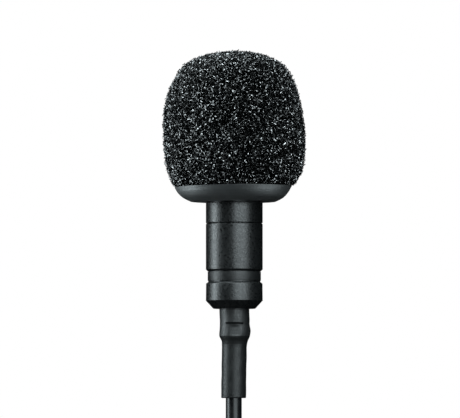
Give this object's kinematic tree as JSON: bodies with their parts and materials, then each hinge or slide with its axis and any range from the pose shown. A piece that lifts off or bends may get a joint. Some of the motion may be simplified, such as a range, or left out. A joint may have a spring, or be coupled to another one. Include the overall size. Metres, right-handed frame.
{
  "type": "lavalier microphone",
  "caption": "Clip-on lavalier microphone: slim black barrel with a clip groove, pull-off foam windscreen, strain relief, and thin cable folded in a tied hank to a 3.5 mm jack plug.",
  "frame": {"origin": "centre of the groove that a tie clip grips, on the microphone's own axis", "axes": "+Z along the microphone's axis from the cable towards the windscreen; +Y away from the side with the strain relief's flex slit"},
  "size_m": [0.0208, 0.0213, 0.0906],
  "materials": {
    "foam_black": "matte",
    "base_plastic": "satin",
    "grip_rubber": "matte",
    "body_black": "satin",
    "steel": "satin",
    "felt_grey": "matte",
    "rubber_black": "satin",
    "aluminium": "satin",
    "gold_film": "gloss",
    "brass": "satin",
    "insulator_white": "matte",
    "board_green": "satin",
    "chip_black": "satin",
    "chip_tan": "satin",
    "solder": "gloss",
    "wire_red": "satin",
    "wire_copper": "satin",
    "cable_black": "gloss",
    "tie_fabric": "matte",
    "plug_moulding": "satin",
    "plug_nickel": "polished",
    "plug_band": "gloss"
  },
  "bodies": {
    "microphone": {"front_cap": "body_black", "barrel": "body_black", "rear_cap": "body_black", "grille_mesh": "steel", "grille_retainer": "steel", "acoustic_felt": "felt_grey", "capsule_sleeve": "rubber_black", "capsule_can": "aluminium", "diaphragm_ring": "brass", "diaphragm": "gold_film", "spacer_washer": "insulator_white", "backplate": "brass", "capsule_insulator": "insulator_white", "contact_ring": "brass", "capsule_board": "board_green", "jfet_chip": "chip_black", "chip_capacitor_a": "chip_tan", "chip_capacitor_b": "chip_tan", "solder_signal": "solder", "solder_ground": "solder", "signal_wire": "wire_red", "ground_wire": "wire_copper", "crimp_ferrule": "brass", "strain_relief": "rubber_black", "cable_run": "cable_black", "cable_hank": "cable_black", "cable_tail": "cable_black", "cable_tie": "tie_fabric", "plug_boot": "rubber_black", "plug_body": "plug_moulding", "plug_sleeve": "plug_nickel", "plug_insulator_sleeve": "plug_band", "plug_ring_2": "plug_nickel", "plug_insulator_middle": "plug_band", "plug_ring_1": "plug_nickel", "plug_insulator_tip": "plug_band", "plug_core": "plug_band", "plug_tip": "plug_nickel"},
    "grip_ring": {"windscreen_grip_ring": "grip_rubber"},
    "windscreen": {"windscreen_foam": "foam_black", "windscreen_base": "base_plastic"}
  },
  "joints": [
    {"name": "windscreen_pull", "type": "slide", "parent": "microphone", "child": "grip_ring", "axis": [0, 0, 1], "range_m": [0, 0.01]},
    {"name": "windscreen_turn", "type": "hinge", "parent": "grip_ring", "child": "windscreen", "pos_m": [0, 0, 0.00885], "axis": [0, 0, 1], "continuous": true}
  ]
}
